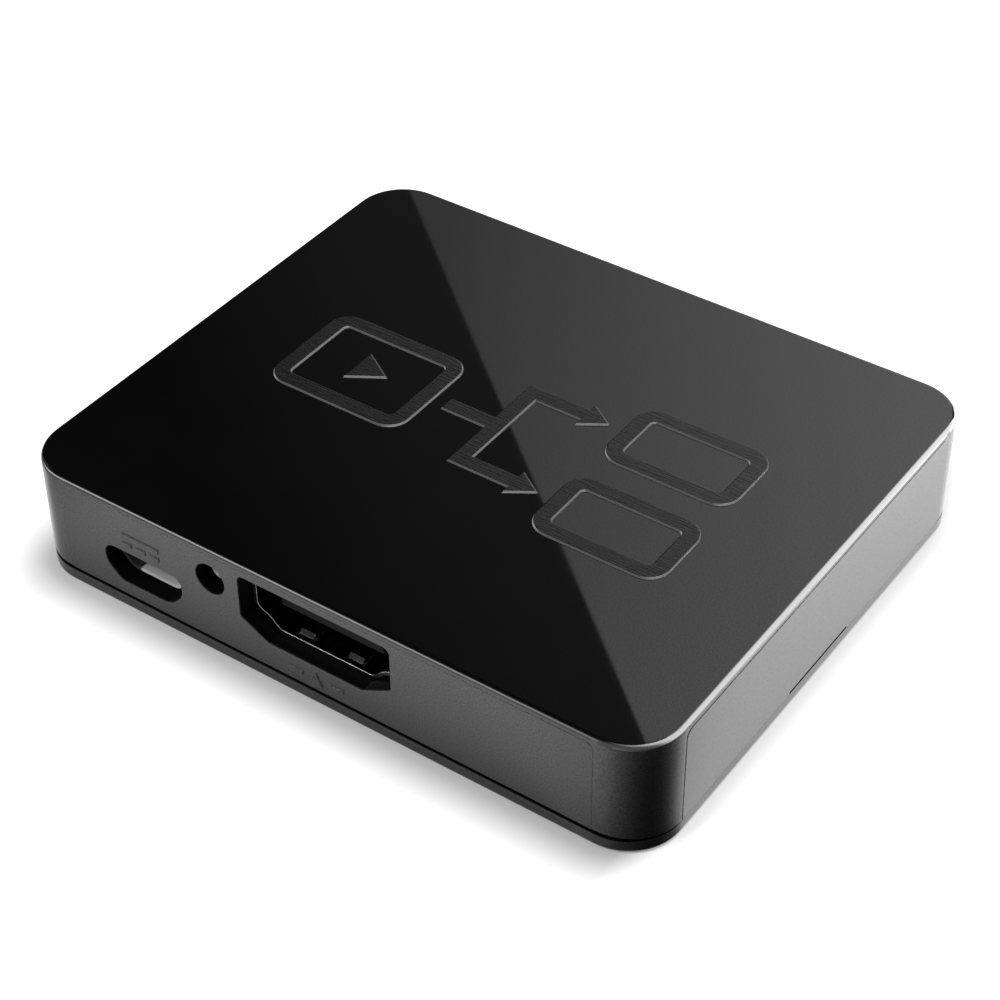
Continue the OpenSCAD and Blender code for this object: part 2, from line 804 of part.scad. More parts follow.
// Upright tab with a wedge-shaped barb near its top, outwards along X
module snap_tab() {
    reach = rim_clear + snap_bite;
    rotate([90, 0, 0])
        linear_extrude(snap_w, center = true)
            polygon([[-rim_t, 0], [0, 0], [0, snap_h - snap_barb_h], [reach, snap_h - snap_barb_h],
                [0, snap_h], [-rim_t, snap_h]]);
}

module circuit_board() {
    color("#1d5b34")
        difference() {
            translate([0, 0, board_low])
                linear_extrude(board_t)
                    rounded_rect([board_w, board_d], board_r);
            at_screws()
                translate([0, 0, board_low - over])
                    cylinder(d = screw_d + 2 * screw_clear, h = board_t + 2 * over);
            at_video_in()
                video_legs(hole_clear);
            for (side = [-1, 1])
                at_video_out(side)
                    video_legs(hole_clear);
            at_power()
                power_legs(hole_clear);
            for (side = [-1, 1])
                translate([led_x + side * lead_pitch / 2, lead_y, board_low - over])
                    cylinder(d = lead_t * sqrt(2) + 2 * hole_clear, h = board_t + 2 * over);
        }
}

module board_screws() {
    color("silver")
        at_screws()
            difference() {
                union() {
                    translate([0, 0, board_low])
                        cylinder(d = screw_d, h = screw_len);
                    translate([0, 0, board_low - screw_head_h])
                        cylinder(d = screw_head_d, h = screw_head_h);
                }
                for (turn = [0, 90])
                    rotate(turn)
                        translate([0, 0, board_low - screw_head_h])
                            cube([screw_cross_len, screw_cross, screw_head_h], center = true);
            }
}

// Legs of a video shell, or with play added the slots that they pass through
module video_legs(play) {
    low = video_h / 2 + video_lift + board_t + leg_tail;
    high = video_h / 4;
    for (side = [-1, 1], y = [leg_front, leg_rear])
        translate([side * (video_w - video_sheet) / 2, y, (high - low) / 2])
            cube([video_sheet + 2 * play, leg_w + 2 * play, low + high + 2 * play], center = true);
}

// Window in the shell round a spring tongue
module spring_window() {
    translate([0, spring_tip + (spring_len - spring_slit) / 2, (video_sheet - video_h) / 2])
        cube([spring_w + 2 * spring_slit, spring_len + spring_slit, video_sheet + 2 * video_fit],
            center = true);
}

// Spring tongue: it leaves the shell at its rear end, rises to a crest and ramps down to its free end
module spring() {
    root = spring_tip + spring_len;
    crest = spring_tip + spring_ramp;
    under = [[root, 0], [crest + spring_crest, spring_rise], [crest, spring_rise], [spring_tip, 0]];
    translate([0, 0, -video_h / 2])
        along_width(spring_w)
            polygon(concat(under, [for (i = [3:-1:0]) under[i] + [0, video_sheet]]));
}

module at_springs() {
    for (flip = [0, 1], side = [-1, 1])
        mirror([0, 0, flip])
            translate([side * spring_x, 0, 0])
                children();
}

module video_shell() {
    foot_cut = video_foot + 2 * video_fit;
    color("#b9bbbd") {
        difference() {
            along_depth(video_len)
                difference() {
                    video_outline(0);
                    video_outline(video_sheet);
                }
            at_springs()
                spring_window();
            translate([-foot_cut / 2, block_front - video_fit, -video_h / 2 - over])
                cube([foot_cut, video_len, over + video_sheet + video_fit]);
        }
        at_springs()
            spring();
        video_legs(0);
    }
}

// Strips of one row of contacts, at the tongue's upper or lower face, with play added for their slots
module contact_strips(count, pitch, z, from, to, play) {
    for (i = [0:count - 1])
        translate([(i - (count - 1) / 2) * pitch, (from + to) / 2, z])
            cube([contact_w + 2 * play, to - from, contact_t + 2 * play], center = true);
}

module video_strips(from, to, play) {
    contact_strips(upper_contacts, contact_pitch, upper_strip_z, from, to, play);
    contact_strips(lower_contacts, contact_pitch, lower_strip_z, from, to, play);
}

module video_insulator() {
    foot_low = -video_h / 2 - video_lift;
    color("#101012")
        difference() {
            union() {
                translate([0, block_front, 0])
                    along_depth(video_block)
                        video_outline(video_sheet + video_fit);
                translate([-video_foot / 2, block_front, foot_low])
                    cube([video_foot, video_block, video_lift + video_sheet + over]);
                translate([-tongue_w / 2, tongue_back, tongue_up - tongue_t / 2])
                    cube([tongue_w, block_front - tongue_back + over, tongue_t]);
            }
            video_strips(block_front, block_rear + over, video_fit);
        }
}

// Upright tails and solder feet of one row of contacts
module contact_tails(count, pitch, z, rear, floor_z) {
    for (i = [0:count - 1])
        translate([(i - (count - 1) / 2) * pitch - contact_w / 2, rear, floor_z]) {
            cube([contact_w, contact_t, z - floor_z + contact_t / 2]);
            cube([contact_w, contact_foot, contact_t]);
        }
}

module video_contacts() {
    rear = block_rear + video_fit;
    floor_z = -video_h / 2 - video_lift;
    color("#d8b04a") {
        video_strips(tongue_back + contact_w, rear + contact_t, 0);
        contact_tails(upper_contacts, contact_pitch, upper_strip_z, rear, floor_z);
        contact_tails(lower_contacts, contact_pitch, lower_strip_z, rear, floor_z);
    }
}

module video_in_shell() {
    at_video_in()
        video_shell();
}

module video_in_insulator() {
    at_video_in()
        video_insulator();
}

module video_in_contacts() {
    at_video_in()
        video_contacts();
}

module video_out_a_shell() {
    at_video_out(-1)
        video_shell();
}

module video_out_a_insulator() {
    at_video_out(-1)
        video_insulator();
}

module video_out_a_contacts() {
    at_video_out(-1)
        video_contacts();
}

module video_out_b_shell() {
    at_video_out(1)
        video_shell();
}

module video_out_b_insulator() {
    at_video_out(1)
        video_insulator();
}

module video_out_b_contacts() {
    at_video_out(1)
        video_contacts();
}

// Legs of the power shell, or with play added the slots that they pass through
module power_legs(play) {
    low = power_h / 2 + power_lift + board_t + leg_tail;
    high = power_h / 4;
    for (side = [-1, 1])
        translate([side * (power_w - power_sheet) / 2, power_leg, (high - low) / 2])
            cube([power_sheet + 2 * play, leg_w + 2 * play, low + high + 2 * play], center = true);
}

module power_socket_shell() {
    color("#b9bbbd")
        at_power() {
            along_depth(power_len)
                difference() {
                    power_outline(0);
                    power_outline(power_sheet);
                }
            power_legs(0);
        }
}

module power_socket_insulator() {
    block = power_len - power_block;
    color("#101012")
        at_power()
            difference() {
                union() {
                    translate([0, block, 0])
                        along_depth(power_block)
                            power_outline(power_sheet + video_fit);
                    translate([-power_tongue_w / 2, power_tongue_back, power_tongue_up - power_tongue_t / 2])
                        cube([power_tongue_w, block - power_tongue_back + over, power_tongue_t]);
                }
                contact_strips(power_contacts, power_pitch, power_strip_z,
                    block, power_len + over, video_fit);
            }
}

module power_socket_contacts() {
    rear = power_len + video_fit;
    color("#d8b04a")
        at_power() {
            contact_strips(power_contacts, power_pitch, power_strip_z,
                power_tongue_back + contact_w, rear + contact_t, 0);
            contact_tails(power_contacts, power_pitch, power_strip_z, rear, -power_h / 2 - power_lift);
        }
}

module status_led() {
    color("#c9d6e8")
        translate([led_x, led_tip, led_z])
            rotate([-90, 0, 0]) {
                translate([0, 0, led_d / 2])
                    sphere(d = led_d);
                translate([0, 0, led_d / 2])
                    cylinder(d = led_d, h = led_len - led_d / 2);
                translate([0, 0, led_len - led_flange_t])
                    cylinder(d = led_flange_d, h = led_flange_t);
            }
}

module led_leads() {
    drop = led_z - board_low + leg_tail;
    color("silver")
        for (side = [-1, 1])
            translate([led_x + side * lead_pitch / 2 - lead_t / 2, led_tip + led_len, led_z - lead_t / 2]) {
                cube([lead_t, lead_out, lead_t]);
                translate([0, lead_out - lead_t, -drop])
                    cube([lead_t, lead_t, drop + lead_t]);
            }
}

// Body of a chip, standing just above the board
module chip_body(at, size, h) {
    translate([at[0] - size[0] / 2, at[1] - size[1] / 2, board_top + chip_stand])
        cube([size[0], size[1], h]);
}

// Row of bent leads along X, which leave a body whose side lies at y = 0 and reach out along Y
module lead_row(count, pitch, w, h) {
    mid = chip_stand + h / 2;
    step = (pin_reach - pin_t) / 2;
    for (i = [0:count - 1])
        translate([(i - (count - 1) / 2) * pitch, 0, board_top])
            along_width(w)
                polygon([[0, mid], [step, mid], [step, 0], [pin_reach, 0], [pin_reach, pin_t],
                    [step + pin_t, pin_t], [step + pin_t, mid + pin_t], [0, mid + pin_t]]);
}

module splitter_chip() {
    color("#1a1a1c")
        chip_body([0, 0], [chip_side, chip_side], chip_h);
}

module splitter_chip_leads() {
    color("silver")
        for (turn = [0:90:270])
            rotate(turn)
                translate([0, chip_side / 2, 0])
                    lead_row(chip_leads, chip_pitch, chip_pitch / 2, chip_h);
}

module memory_chip() {
    color("#1a1a1c")
        chip_body(memory_at, [memory_size[1], memory_size[0]], small_chip_h);
}

module memory_chip_leads() {
    color("silver")
        for (turn = [90, 270])
            translate([memory_at[0], memory_at[1], 0])
                rotate(turn)
                    translate([0, memory_size[1] / 2, 0])
                        lead_row(memory_pins, memory_pitch, memory_pitch / 3, small_chip_h);
}

module regulator() {
    color("#1a1a1c")
        chip_body(regulator_at, regulator_size, small_chip_h);
}

module regulator_leads() {
    color("silver")
        translate([regulator_at[0], regulator_at[1], 0]) {
            translate([0, regulator_size[1] / 2, 0])
                lead_row(1, 0, regulator_tab, small_chip_h);
            rotate(180)
                translate([0, regulator_size[1] / 2, 0])
                    lead_row(regulator_pins, regulator_pitch, regulator_pitch / 3, small_chip_h);
        }
}

module converter_chip() {
    color("#1a1a1c")
        chip_body(converter_at, converter_size, converter_h);
}

module converter_leads() {
    color("silver")
        translate([converter_at[0], converter_at[1], 0]) {
            translate([0, converter_size[1] / 2, 0])
                lead_row(converter_pins[1], 2 * converter_pitch, converter_pitch / 2, converter_h);
            rotate(180)
                translate([0, converter_size[1] / 2, 0])
                    lead_row(converter_pins[0], converter_pitch, converter_pitch / 2, converter_h);
        }
}

module power_inductor() {
    color("#3a3b3d")
        translate([inductor_at[0], inductor_at[1], board_top + pin_t])
            linear_extrude(inductor_h)
                rounded_rect([inductor_side, inductor_side], inductor_side / 6);
}

module inductor_ends() {
    end_side = inductor_side / 3;
    color("silver")
        for (side = [-1, 1])
            translate([inductor_at[0], inductor_at[1], board_top + pin_t / 2])
                translate([side * (inductor_side - end_side) / 2, 0, 0])
                    cube([end_side, end_side, pin_t], center = true);
}

module crystal_can() {
    color("#c4c6c8")
        translate([crystal_at[0], crystal_at[1], board_top + pin_t + crystal_base_t])
            linear_extrude(crystal_size[2])
                rounded_rect([crystal_size[0], crystal_size[1]], crystal_size[1] / 2 - crystal_lip);
}

module crystal_base() {
    size = [for (i = [0, 1]) crystal_size[i] + 2 * crystal_lip];
    color("#1a1a1c")
        translate([crystal_at[0], crystal_at[1], board_top + pin_t])
            linear_extrude(crystal_base_t)
                rounded_rect(size, crystal_lip);
}

module crystal_leads() {
    lead_len = crystal_size[0] / 3;
    color("silver")
        for (side = [-1, 1])
            translate([crystal_at[0], crystal_at[1], board_top + pin_t / 2])
                translate([side * (crystal_size[0] - lead_len) / 2, 0, 0])
                    cube([lead_len, lead_t, pin_t], center = true);
}

module bulk_capacitor_cans() {
    color("#c4c6c8")
        for (at = bulk_at)
            translate([at[0], at[1], board_top + bulk_base_t])
                cylinder(d = bulk_d, h = bulk_h);
}

module bulk_capacitor_bases() {
    side = bulk_d + 2 * bulk_lip;
    color("#1a1a1c")
        for (at = bulk_at)
            translate([at[0], at[1], board_top])
                linear_extrude(bulk_base_t)
                    rounded_rect([side, side], bulk_d / 8);
}

// Middle stretch of each small part
module small_bodies(places) {
    body_len = small_size[0] - 2 * small_end;
    for (at = places)
        translate([at[0], at[1], board_top + small_size[2] / 2])
            cube([small_size[1], body_len, small_size[2]], center = true);
}

module ceramic_capacitors() {
    color("#a98a63")
        small_bodies(capacitor_at);
}

module chip_resistors() {
    color("#202124")
        small_bodies(resistor_at);
}

module chip_terminals() {
    color("silver")
        for (at = concat(capacitor_at, resistor_at), side = [-1, 1])
            translate([at[0], at[1] + side * (small_size[0] - small_end) / 2, board_top + small_size[2] / 2])
                cube([small_size[1], small_end, small_size[2]], center = true);
}

module surge_arrays() {
    color("#1a1a1c")
        for (at = surge_at)
            translate([at[0], at[1], board_top + surge_size[2] / 2])
                cube(surge_size, center = true);
}

top_cover();
bottom_cover();
circuit_board();
board_screws();
video_in_shell();
video_in_insulator();
video_in_contacts();
video_out_a_shell();
video_out_a_insulator();
video_out_a_contacts();
video_out_b_shell();
video_out_b_insulator();
video_out_b_contacts();
power_socket_shell();
power_socket_insulator();
power_socket_contacts();
status_led();
led_leads();
splitter_chip();
splitter_chip_leads();
memory_chip();
memory_chip_leads();
regulator();
regulator_leads();
converter_chip();
converter_leads();
power_inductor();
inductor_ends();
crystal_can();
crystal_base();
crystal_leads();
bulk_capacitor_cans();
bulk_capacitor_bases();
ceramic_capacitors();
chip_resistors();
chip_terminals();
surge_arrays();
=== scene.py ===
"""Looks of a small video splitter: a glossy black case with its sockets, in a white studio."""

import math

import bpy
from mathutils import Matrix, Vector

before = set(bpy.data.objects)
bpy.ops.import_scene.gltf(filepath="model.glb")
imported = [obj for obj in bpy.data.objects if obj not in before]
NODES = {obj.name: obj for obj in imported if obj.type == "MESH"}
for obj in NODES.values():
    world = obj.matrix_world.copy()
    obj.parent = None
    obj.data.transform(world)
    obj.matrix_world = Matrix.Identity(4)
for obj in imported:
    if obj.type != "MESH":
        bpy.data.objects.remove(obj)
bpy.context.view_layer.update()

MM = 0.001

# Sizes of the case, in millimetres
HALF_W, HALF_D, CORNER_R = 33.0, 27.5, 5.0
ROOF_Z = 12.0
RIM_R = 0.45
MARK_TOP_Z = ROOF_Z + 0.18
SEAM_TOP_Z = 1.75
# Place of the video sockets' mouths along the depth, and of the power socket along the width
MOUTH_Y = 26.0
POWER_X = -19.0

# Greys of the case: its black from low to high, the painted light on the step at the panels' ends, and the
# painted highlight on the mark's slopes
CASE_BLACK = (0.0022, 0.0036)
STEP_PAINTED_LIGHT_GREY = 0.45
MARK_HIGHLIGHT_GREY = 0.35
# Painted shade inside the sockets, on their metal behind the video mouths and on the left of the power
# socket
SOCKET_SHADE_GREY = 0.015
# Turn of the tooling on the mark, in degrees
TOOLING_TURN = -38

# The photograph's camera, in degrees and millimetres
CAMERA_AZIMUTH = 35.222
CAMERA_ELEVATION = 40.204
CAMERA_ROLL = -0.466
CAMERA_OFFSET = (-0.270, 2.755)
CAMERA_DISTANCE = 220.853
SENSOR = 36.0
LENS = 86.026

# Two points of the line on the roof where the mirrored studio turns from dark to light, in millimetres
TONE_LINE = ((-21.6, 19.4), (27.2, -22.1))

# Levels of the studio, where 1 is white
AMBIENT_LEVEL = 0.15
FRONT_BOX_LEVEL = 9.0
RIGHT_BOX_LEVEL = 14.5
PAPER = 0.93
# The dark cloth that keeps the soft boxes off the roof: its level, lean in degrees, and size in millimetres
CLOTH_LEVEL = 0.35
CLOTH_LEAN = 17
CLOTH_HEIGHT, CLOTH_REACH = 1000.0, 3000.0
# The soft boxes in gloss: first and last angle from straight up, and softness, in degrees
FRONT_BAND = (47, 77, 4)
RIGHT_BAND = (-8, 95, 9)
# The lamps: direction from the object, distance and side in metres, and level
KEY_LAMP = ((0.08, 0.22, 0.97), 0.5, 0.25, 0.6)
FILL_LAMP = ((-0.35, -0.65, 0.67), 0.45, 0.2, 0.34)
# Greatest brightness of the floor's ring, which the ramp takes as 1
RING_TOP = 2.5
FLOOR_HALF, FLOOR_DROP = 3.0, -0.05 * MM
# Brightness of the floor in gloss, by the turn of the rounded front right corner that mirrors it, in degrees
FLOOR_RING = ((-40, 1.78), (-18, 2.5), (-10, 2.42), (-6, 2.3), (-3, 1.76), (0, 1.43), (10, 0.5), (20, 0.12),
              (30, 0.05), (40, 0.08), (50, 0.2), (60, 0.5), (70, 0.95), (80, 1.6), (90, 1.65), (101, 2.0),
              (109, 1.7), (120, 1.6), (140, 1.6))
# Turn at which that corner faces the camera, in degrees
FACING_TURN = 54.5


class Shader:
    """A node tree, with short calls for the nodes that the materials share."""

    def __init__(self, tree):
        self.tree = tree
        self.tree.nodes.clear()

    def node(self, kind, inputs=None, **settings):
        made = self.tree.nodes.new(kind)
        for name, value in settings.items():
            setattr(made, name, value)
        for key, value in (inputs or {}).items():
            self.feed(made.inputs[key], value)
        return made

    def feed(self, socket, value):
        if isinstance(value, bpy.types.NodeSocket):
            self.tree.links.new(value, socket)
        else:
            socket.default_value = value

    def math(self, operation, *values, clamp=False):
        made = self.node("ShaderNodeMath", dict(enumerate(values)), operation=operation)
        made.use_clamp = clamp
        return made.outputs[0]

    def vector(self, operation, *values):
        made = self.node("ShaderNodeVectorMath", dict(enumerate(values)), operation=operation)
        return made.outputs["Value"] if operation in ("DOT_PRODUCT", "LENGTH") else made.outputs["Vector"]

    def span(self, value, low, high, to_low=0.0, to_high=1.0, smooth=False):
        """Value from one span to another, held at the ends."""
        inputs = {0: value, 1: low, 2: high, 3: to_low, 4: to_high}
        kind = "SMOOTHSTEP" if smooth else "LINEAR"
        return self.node("ShaderNodeMapRange", inputs, interpolation_type=kind).outputs[0]

    def blend(self, factor, low, high):
        inputs = {0: factor, 2: low, 3: high}
        return self.node("ShaderNodeMix", inputs, data_type="FLOAT").outputs[0]

    def tint(self, factor, low, high):
        inputs = {0: factor, 6: low, 7: high}
        return self.node("ShaderNodeMix", inputs, data_type="RGBA").outputs[2]

    def noise(self, place, scale, detail=2.0, roughness=0.5):
        inputs = {"Vector": place, "Scale": scale, "Detail": detail, "Roughness": roughness}
        return self.node("ShaderNodeTexNoise", inputs).outputs["Fac"]

    def stops(self, factor, places):
        """Grey values at places from 0 to 1, joined by straight ramps."""
        made = self.node("ShaderNodeValToRGB", {"Fac": factor})
        ramp = made.color_ramp
        while len(ramp.elements) < len(places):
            ramp.elements.new(0.5)
        for element, (at, value) in zip(ramp.elements, places):
            element.position = at
            element.color = (value, value, value, 1)
        return made.outputs["Color"]

    def millimetres(self):
        place = self.node("ShaderNodeTexCoord").outputs["Object"]
        return self.vector("MULTIPLY", place, (1 / MM, 1 / MM, 1 / MM))

    def parts(self, vector):
        made = self.node("ShaderNodeSeparateXYZ", {0: vector})
        return made.outputs["X"], made.outputs["Y"], made.outputs["Z"]


def grey(value):
    return (value, value, value, 1)


def new_material(name):
    made = bpy.data.materials.new(name)
    made.use_nodes = True
    return made, Shader(made.node_tree)


def close_material(sh, inputs):
    surface = sh.node("ShaderNodeBsdfPrincipled", inputs)
    sh.node("ShaderNodeOutputMaterial", {"Surface": surface.outputs["BSDF"]})


def bumped(sh, height, depth_mm, normal=None):
    """Shading normal of a height from 0 to 1 that is depth_mm deep."""
    inputs = {"Height": height, "Distance": depth_mm * MM, "Strength": 1.0}
    if normal is not None:
        inputs["Normal"] = normal
    return sh.node("ShaderNodeBump", inputs).outputs["Normal"]


def outward(sh, x, y):
    """Distance in millimetres from the case's upright walls, below zero inside them."""
    past_x = sh.math("SUBTRACT", sh.math("ABSOLUTE", x), HALF_W - CORNER_R)
    past_y = sh.math("SUBTRACT", sh.math("ABSOLUTE", y), HALF_D - CORNER_R)
    squares = [sh.math("POWER", sh.math("MAXIMUM", past, 0.0), 2.0) for past in (past_x, past_y)]
    beyond = sh.math("SQRT", sh.math("ADD", *squares))
    within = sh.math("MINIMUM", sh.math("MAXIMUM", past_x, past_y), 0.0)
    return sh.math("SUBTRACT", sh.math("ADD", beyond, within), CORNER_R)


def faired(sh, x, y, z, normal):
    """Normal that hides most of the low step at the ends of the side panels, and where that step is."""
    signs = [sh.math("SIGN", v) for v in (x, y)]
    past_x = sh.math("SUBTRACT", sh.math("ABSOLUTE", x), HALF_W)
    past_y = sh.math("SUBTRACT", sh.math("ABSOLUTE", y), HALF_D)
    on_short = sh.math("GREATER_THAN", past_x, past_y)
    plain = sh.node("ShaderNodeCombineXYZ", {
        "X": sh.math("MULTIPLY", signs[0], on_short),
        "Y": sh.math("MULTIPLY", signs[1], sh.math("SUBTRACT", 1.0, on_short))}).outputs["Vector"]
    along = sh.math("MINIMUM", past_x, past_y)
    at_end = sh.math("MULTIPLY", sh.span(along, -CORNER_R - 0.7, -CORNER_R - 0.6),
                     sh.span(along, -CORNER_R, -CORNER_R - 0.05))
    near_wall = sh.math("LESS_THAN", sh.math("ABSOLUTE", sh.math("MAXIMUM", past_x, past_y)), 0.05)
    above_seam = sh.math("GREATER_THAN", z, SEAM_TOP_Z)
    at_step = sh.math("MULTIPLY", sh.math("MULTIPLY", at_end, near_wall), above_seam)
    inputs = {0: sh.math("MULTIPLY", at_step, 0.8), 4: normal, 5: plain}
    mixed = sh.node("ShaderNodeMix", inputs, data_type="VECTOR").outputs[1]
    upright = sh.vector("DOT_PRODUCT", plain, sh.node("ShaderNodeNewGeometry").outputs["True Normal"])
    return sh.vector("NORMALIZE", mixed), sh.math("MULTIPLY", at_step, sh.span(upright, 0.9, 0.5))


def case_plastic(name, roof_gloss, side_gloss, edge_mm):
    """Black moulded plastic: polished on top, finely grained on the sides, tooled on the raised mark."""
    made, sh = new_material(name)
    place = sh.millimetres()
    x, y, z = sh.parts(place)
    sideways, _, facing = sh.parts(sh.node("ShaderNodeNewGeometry").outputs["Normal"])
    on_roof = sh.span(z, ROOF_Z - 0.04, ROOF_Z - 0.02)
    flat = sh.math("MULTIPLY", sh.span(facing, 0.9, 0.995), on_roof)
    on_mark = sh.math("MULTIPLY", sh.span(z, ROOF_Z + 0.1, MARK_TOP_Z - 0.02), flat)
    on_rim = sh.span(z, ROOF_Z - RIM_R - 0.06, ROOF_Z - RIM_R + 0.04)
    past_wall = outward(sh, x, y)
    depth = sh.span(past_wall, -0.06, -0.16)
    on_slope = sh.math("MULTIPLY", sh.math("MULTIPLY", on_roof, sh.math("SUBTRACT", 1.0, flat)),
                       sh.span(past_wall, -RIM_R - 0.2, -RIM_R - 0.4))
    between = sh.math("MULTIPLY", sh.span(z, 0.3, 0.4), sh.math("SUBTRACT", 1.0, on_rim))
    sunken = sh.math("MULTIPLY", depth, between)

    cloud = sh.noise(place, 0.12, 3.0)
    grain = sh.noise(place, 6.5, 2.0)
    turned = sh.node("ShaderNodeMapping", {"Vector": place, "Rotation": (0, 0, math.radians(TOOLING_TURN)),
                                           "Scale": (0.35, 7.0, 1.0)}).outputs["Vector"]
    tooling = sh.noise(turned, 1.0, 3.0, 0.6)

    side_rough = sh.span(grain, 0.3, 0.7, side_gloss - 0.03, side_gloss + 0.03)
    roof_rough = sh.span(cloud, 0.3, 0.7, roof_gloss * 0.8, roof_gloss * 1.2)
    mark_rough = sh.span(tooling, 0.3, 0.7, 0.16, 0.42)
    outer_rough = sh.blend(flat, sh.blend(on_rim, side_rough, 0.12), roof_rough)
    rough = sh.blend(sunken, sh.blend(on_mark, outer_rough, mark_rough), 0.5)
    soft = sh.node("ShaderNodeBevel", {"Radius": edge_mm * MM}, samples=6).outputs["Normal"]
    # Painted light: the low step at the panels' ends is painted a light grey and loses its gloss.
    even, step = faired(sh, x, y, z, soft)
    # Painted shade: inside the walls below the rim, as in the sockets' tunnels, the gloss is dimmed to 0.04.
    dim = sh.math("MULTIPLY", sh.blend(sunken, 1.0, 0.04), sh.math("SUBTRACT", 1.0, step))
    top_speckle = sh.blend(flat, 0.5, sh.span(grain, 0.3, 0.7, 0.38, 0.62))
    speckle = sh.blend(on_rim, sh.span(grain, 0.3, 0.7, 0.3, 0.7), top_speckle)
    level = sh.math("MULTIPLY", speckle, dim)
    side_grain = sh.math("MULTIPLY", grain, sh.math("SUBTRACT", 1.0, on_rim))
    grained = bumped(sh, side_grain, 0.003, even)
    tooled = bumped(sh, sh.math("MULTIPLY", tooling, on_mark), 0.03, grained)
    black = sh.tint(cloud, *(grey(value) for value in CASE_BLACK))
    # Painted highlight: the mark's slopes are painted a lighter grey, most where they face left or right.
    painted_highlight = sh.math("MULTIPLY", on_slope, sh.span(sh.math("ABSOLUTE", sideways), 0.2, 0.6, 0.3, 1.0))
    colour = sh.tint(painted_highlight, sh.tint(step, black, grey(STEP_PAINTED_LIGHT_GREY)), grey(MARK_HIGHLIGHT_GREY))
    close_material(sh, {"Base Color": colour, "Roughness": rough, "IOR": 1.5, "Specular IOR Level": level,
                        "Normal": tooled})
    return made


def metal(name, dark, light, gloss, stretch, scratch_mm, metallic=1.0, painted_shade=None, shine=0.5):
    """Rolled or plated metal, finely streaked along its least stretch, with painted shade where a shade mask
    is given.
    """
    made, sh = new_material(name)
    place = sh.millimetres()
    drawn = sh.vector("MULTIPLY", place, stretch)
    streaks = sh.noise(drawn, 1.0, 4.0, 0.65)
    stain = sh.noise(place, 0.6, 3.0)
    colour = sh.tint(sh.blend(0.4, stain, streaks), dark, light)
    if painted_shade is not None:
        # Painted shade: the metal turns near black where the shade mask is one.
        colour = sh.tint(painted_shade(sh, *sh.parts(place)), colour, grey(SOCKET_SHADE_GREY))
    rough = sh.span(sh.blend(0.5, streaks, stain), 0.25, 0.75, gloss * 0.7, gloss * 1.35)
    soft = sh.node("ShaderNodeBevel", {"Radius": 0.05 * MM}, samples=4).outputs["Normal"]
    close_material(sh, {"Base Color": colour, "Metallic": metallic, "Roughness": rough,
                        "Specular IOR Level": shine, "Normal": bumped(sh, streaks, scratch_mm, soft)})
    return made


def shade_behind_mouth(sh, x, y, z):
    """Painted shade: nearly one behind the mouths of the video sockets, nought on their edges."""
    return sh.span(sh.math("ABSOLUTE", y), MOUTH_Y - 0.02, MOUTH_Y - 0.12, 0.0, 0.8)


def shaded_left(sh, x, y, z):
    """Painted shadow: nearly one on the left of the power socket, nought on its right."""
    return sh.span(x, POWER_X - 1.6, POWER_X - 1.8, 0.0, 0.97)


def resin(name, dark, light, gloss, grain_per_mm, grain_mm, shine=0.5):
    """Moulded or sintered solid with an even fine grain and faint clouds."""
    made, sh = new_material(name)
    place = sh.millimetres()
    cloud = sh.noise(place, 0.5, 3.0)
    grain = sh.noise(place, grain_per_mm, 2.0)
    colour = sh.tint(sh.blend(0.5, cloud, grain), dark, light)
    rough = sh.span(grain, 0.25, 0.75, gloss * 0.85, gloss * 1.15)
    soft = sh.node("ShaderNodeBevel", {"Radius": 0.06 * MM}, samples=4).outputs["Normal"]
    close_material(sh, {"Base Color": colour, "Roughness": rough, "IOR": 1.5, "Specular IOR Level": shine,
                        "Normal": bumped(sh, grain, grain_mm, soft)})
    return made


def lens(name):
    """Clear cast resin of the indicator, slightly milky inside."""
    made, sh = new_material(name)
    place = sh.millimetres()
    haze = sh.noise(place, 0.9, 3.0)
    colour = sh.tint(haze, (0.6, 0.61, 0.62, 1), (0.74, 0.75, 0.76, 1))
    rough = sh.span(haze, 0.3, 0.7, 0.06, 0.16)
    close_material(sh, {"Base Color": colour, "Roughness": rough, "IOR": 1.53, "Transmission Weight": 0.4})
    return made


def laminate(name):
    """Circuit board: green mask over copper tracks on top, pale glass cloth along the sawn edges."""
    made, sh = new_material(name)
    place = sh.millimetres()
    facing = sh.parts(sh.node("ShaderNodeNewGeometry").outputs["Normal"])[2]
    flat = sh.span(sh.math("ABSOLUTE", facing), 0.6, 0.9)
    wander = sh.node("ShaderNodeTexVoronoi", {"Vector": place, "Scale": 0.35}, distance="MANHATTAN",
                     feature="F1").outputs["Distance"]
    tracks = sh.span(sh.math("PINGPONG", sh.math("MULTIPLY", wander, 3.0), 0.5), 0.2, 0.26)
    cloth = sh.noise(place, 3.0, 2.0)
    mask = sh.tint(tracks, (0.004, 0.026, 0.01, 1), (0.008, 0.05, 0.02, 1))
    edge = sh.tint(cloth, (0.30, 0.27, 0.14, 1), (0.44, 0.40, 0.24, 1))
    colour = sh.tint(flat, edge, mask)
    rough = sh.blend(flat, 0.7, sh.span(cloth, 0.3, 0.7, 0.24, 0.36))
    close_material(sh, {"Base Color": colour, "Roughness": rough, "IOR": 1.52,
                        "Normal": bumped(sh, sh.math("MULTIPLY", tracks, flat), 0.02)})
    return made


